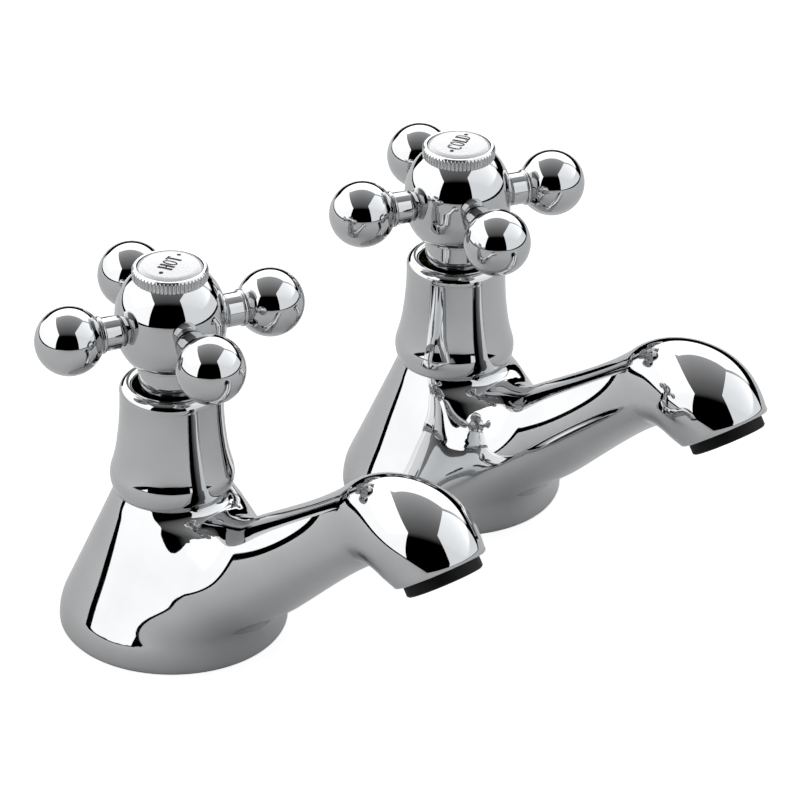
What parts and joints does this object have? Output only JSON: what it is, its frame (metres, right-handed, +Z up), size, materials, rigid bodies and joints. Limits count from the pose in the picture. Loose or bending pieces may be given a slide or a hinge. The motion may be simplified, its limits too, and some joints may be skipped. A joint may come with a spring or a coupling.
{
  "type": "pair of bath taps",
  "caption": "Chrome crosshead pillar taps for a bath, hot and cold, with flared bases, rising spouts and working compression valves.",
  "frame": {"origin": "on the deck plane, midway between the two upright axes", "axes": "+X from the hot tap to the cold one, +Y away from the spouts, +Z up from the deck"},
  "size_m": [0.1564, 0.1306, 0.1403],
  "materials": {
    "chrome": "polished",
    "brass": "machined",
    "black_plastic": "satin",
    "rubber": "matt",
    "foam": "matt",
    "fibre": "matt",
    "nylon": "satin",
    "spring_steel": "bright",
    "ceramic": "glazed"
  },
  "bodies": {
    "taps": {"hot_body": "chrome", "hot_outlet_nozzle": "black_plastic", "hot_base_gasket": "foam", "hot_deck_washer": "fibre", "hot_back_nut": "brass", "hot_shroud": "chrome", "hot_headwork_washer": "fibre", "hot_headwork": "brass", "hot_thrust_washer": "nylon", "cold_body": "chrome", "cold_outlet_nozzle": "black_plastic", "cold_base_gasket": "foam", "cold_deck_washer": "fibre", "cold_back_nut": "brass", "cold_shroud": "chrome", "cold_headwork_washer": "fibre", "cold_headwork": "brass", "cold_thrust_washer": "nylon"},
    "hot_handle": {"hot_spindle": "brass", "hot_spindle_o_rings": "rubber", "hot_circlip": "spring_steel", "hot_handle_hub": "chrome", "hot_handle_arms": "chrome", "hot_handle_screw": "spring_steel", "hot_index_bezel": "chrome", "hot_index_disc": "ceramic"},
    "hot_valve": {"hot_valve_carrier": "brass", "hot_tap_washer": "rubber", "hot_washer_nut": "brass"},
    "cold_handle": {"cold_spindle": "brass", "cold_spindle_o_rings": "rubber", "cold_circlip": "spring_steel", "cold_handle_hub": "chrome", "cold_handle_arms": "chrome", "cold_handle_screw": "spring_steel", "cold_index_bezel": "chrome", "cold_index_disc": "ceramic"},
    "cold_valve": {"cold_valve_carrier": "brass", "cold_tap_washer": "rubber", "cold_washer_nut": "brass"}
  },
  "joints": [
    {"name": "hot_handle_turn", "type": "hinge", "parent": "taps", "child": "hot_handle", "pos_m": [-0.0468, 0, 0.08], "axis": [0, 0, 1], "range_deg": [0, 864]},
    {"name": "hot_valve_lift", "type": "slide", "parent": "taps", "child": "hot_valve", "axis": [0, 0, 1], "range_m": [0, 0.006]},
    {"name": "cold_handle_turn", "type": "hinge", "parent": "taps", "child": "cold_handle", "pos_m": [0.0468, 0, 0.08], "axis": [0, 0, 1], "range_deg": [0, 864]},
    {"name": "cold_valve_lift", "type": "slide", "parent": "taps", "child": "cold_valve", "axis": [0, 0, 1], "range_m": [0, 0.006]}
  ],
  "couplings": [
    {"joint": "hot_valve_lift", "follows": "hot_handle_turn", "m_per_rad": 0.00039789},
    {"joint": "cold_valve_lift", "follows": "cold_handle_turn", "m_per_rad": 0.00039789}
  ]
}
